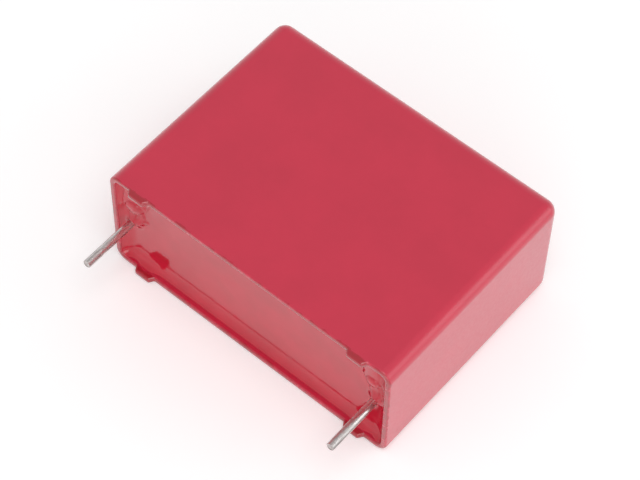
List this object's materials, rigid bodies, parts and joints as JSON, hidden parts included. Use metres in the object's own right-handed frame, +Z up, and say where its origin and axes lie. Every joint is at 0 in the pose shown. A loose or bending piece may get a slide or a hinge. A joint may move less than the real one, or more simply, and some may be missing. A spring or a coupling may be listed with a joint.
{
  "type": "box film capacitor",
  "caption": "Radial film capacitor in a moulded rectangular box with stand-off feet and a resin-sealed open end, its straight tinned wire leads a standard pitch apart.",
  "frame": {"origin": "middle of the large side that the capacitor lies on, halfway between the rim and the closed end of its case", "axes": "+X along the case from the left lead to the right lead, +Y from the open, leaded end to the closed end, +Z up across the thickness"},
  "size_m": [0.0312, 0.0283, 0.0125],
  "materials": {
    "case_plastic": "red moulded polyester, smooth with a soft gloss",
    "potting_resin": "red cast resin, glossy, slightly translucent",
    "metallized_film": "wound metallized film, silvery grey",
    "wrap_film": "clear yellowish plastic film",
    "sprayed_metal": "rough sprayed zinc",
    "tinned_wire": "tinned copper wire, satin with mottled solder"
  },
  "bodies": {
    "root": {"case": "case_plastic", "potting_resin": "potting_resin", "film_winding": "metallized_film", "outer_wrap": "wrap_film", "end_contact_left": "sprayed_metal", "end_contact_right": "sprayed_metal", "lead_left": "tinned_wire", "lead_right": "tinned_wire"}
  },
  "joints": []
}
